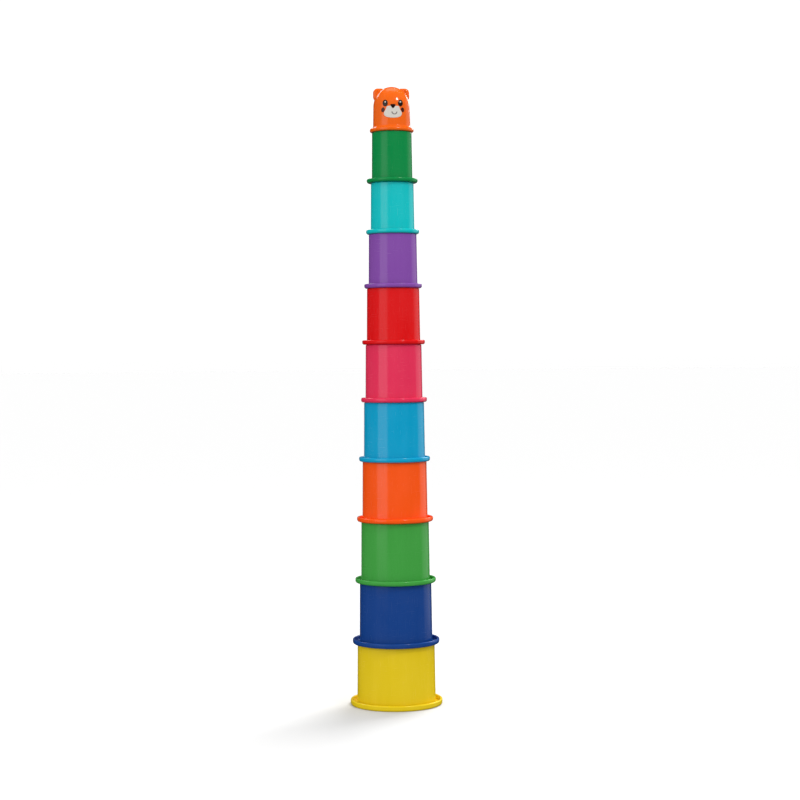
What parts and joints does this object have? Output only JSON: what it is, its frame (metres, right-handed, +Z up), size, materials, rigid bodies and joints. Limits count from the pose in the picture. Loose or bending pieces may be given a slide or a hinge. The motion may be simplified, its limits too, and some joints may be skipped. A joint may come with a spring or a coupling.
{
  "type": "stacking cup tower",
  "caption": "Tower of loose, flanged, round toy cups stacked mouth down in decreasing size, topped by a small cup with a bear's head, for stacking, nesting and sorting by size and colour.",
  "frame": {"origin": "centre of the largest cup's mouth, on the surface that the tower stands on", "axes": "+Z up along the cups' common axis; -Y is the side that the bear's face looks to"},
  "size_m": [0.0896, 0.0894, 0.6],
  "materials": {
    "yellow_plastic": "glossy moulded plastic",
    "dark_blue_plastic": "glossy moulded plastic",
    "green_plastic": "glossy moulded plastic",
    "orange_plastic": "glossy moulded plastic",
    "cyan_plastic": "glossy moulded plastic",
    "pink_plastic": "glossy moulded plastic",
    "red_plastic": "glossy moulded plastic",
    "purple_plastic": "glossy moulded plastic",
    "turquoise_plastic": "glossy moulded plastic",
    "dark_green_plastic": "glossy moulded plastic",
    "bear_orange_plastic": "glossy moulded plastic",
    "white_ink": "thin printed ink, satin",
    "black_ink": "thin printed ink, satin",
    "grey_ink": "thin printed ink, satin",
    "brown_ink": "thin printed ink, satin"
  },
  "bodies": {
    "yellow_cup": {"yellow_cup": "yellow_plastic"},
    "dark_blue_cup": {"dark_blue_cup": "dark_blue_plastic"},
    "green_cup": {"green_cup": "green_plastic"},
    "orange_cup": {"orange_cup": "orange_plastic"},
    "cyan_cup": {"cyan_cup": "cyan_plastic"},
    "pink_cup": {"pink_cup": "pink_plastic"},
    "red_cup": {"red_cup": "red_plastic"},
    "purple_cup": {"purple_cup": "purple_plastic"},
    "turquoise_cup": {"turquoise_cup": "turquoise_plastic"},
    "dark_green_cup": {"dark_green_cup": "dark_green_plastic"},
    "bear": {"bear_topper": "bear_orange_plastic", "muzzle_print": "white_ink", "nose_print": "black_ink", "smile_print": "grey_ink", "eye_prints": "black_ink", "eye_glints": "white_ink", "cheek_marks": "brown_ink"}
  },
  "joints": [
    {"name": "dark_blue_lift", "type": "slide", "parent": "yellow_cup", "child": "dark_blue_cup", "axis": [0, 0, 1], "range_m": [0, 0.03]},
    {"name": "green_lift", "type": "slide", "parent": "dark_blue_cup", "child": "green_cup", "axis": [0, 0, 1], "range_m": [0, 0.03]},
    {"name": "orange_lift", "type": "slide", "parent": "green_cup", "child": "orange_cup", "axis": [0, 0, 1], "range_m": [0, 0.03]},
    {"name": "cyan_lift", "type": "slide", "parent": "orange_cup", "child": "cyan_cup", "axis": [0, 0, 1], "range_m": [0, 0.03]},
    {"name": "pink_lift", "type": "slide", "parent": "cyan_cup", "child": "pink_cup", "axis": [0, 0, 1], "range_m": [0, 0.03]},
    {"name": "red_lift", "type": "slide", "parent": "pink_cup", "child": "red_cup", "axis": [0, 0, 1], "range_m": [0, 0.03]},
    {"name": "purple_lift", "type": "slide", "parent": "red_cup", "child": "purple_cup", "axis": [0, 0, 1], "range_m": [0, 0.03]},
    {"name": "turquoise_lift", "type": "slide", "parent": "purple_cup", "child": "turquoise_cup", "axis": [0, 0, 1], "range_m": [0, 0.03]},
    {"name": "dark_green_lift", "type": "slide", "parent": "turquoise_cup", "child": "dark_green_cup", "axis": [0, 0, 1], "range_m": [0, 0.03]},
    {"name": "bear_lift", "type": "slide", "parent": "dark_green_cup", "child": "bear", "axis": [0, 0, 1], "range_m": [0, 0.03]}
  ]
}
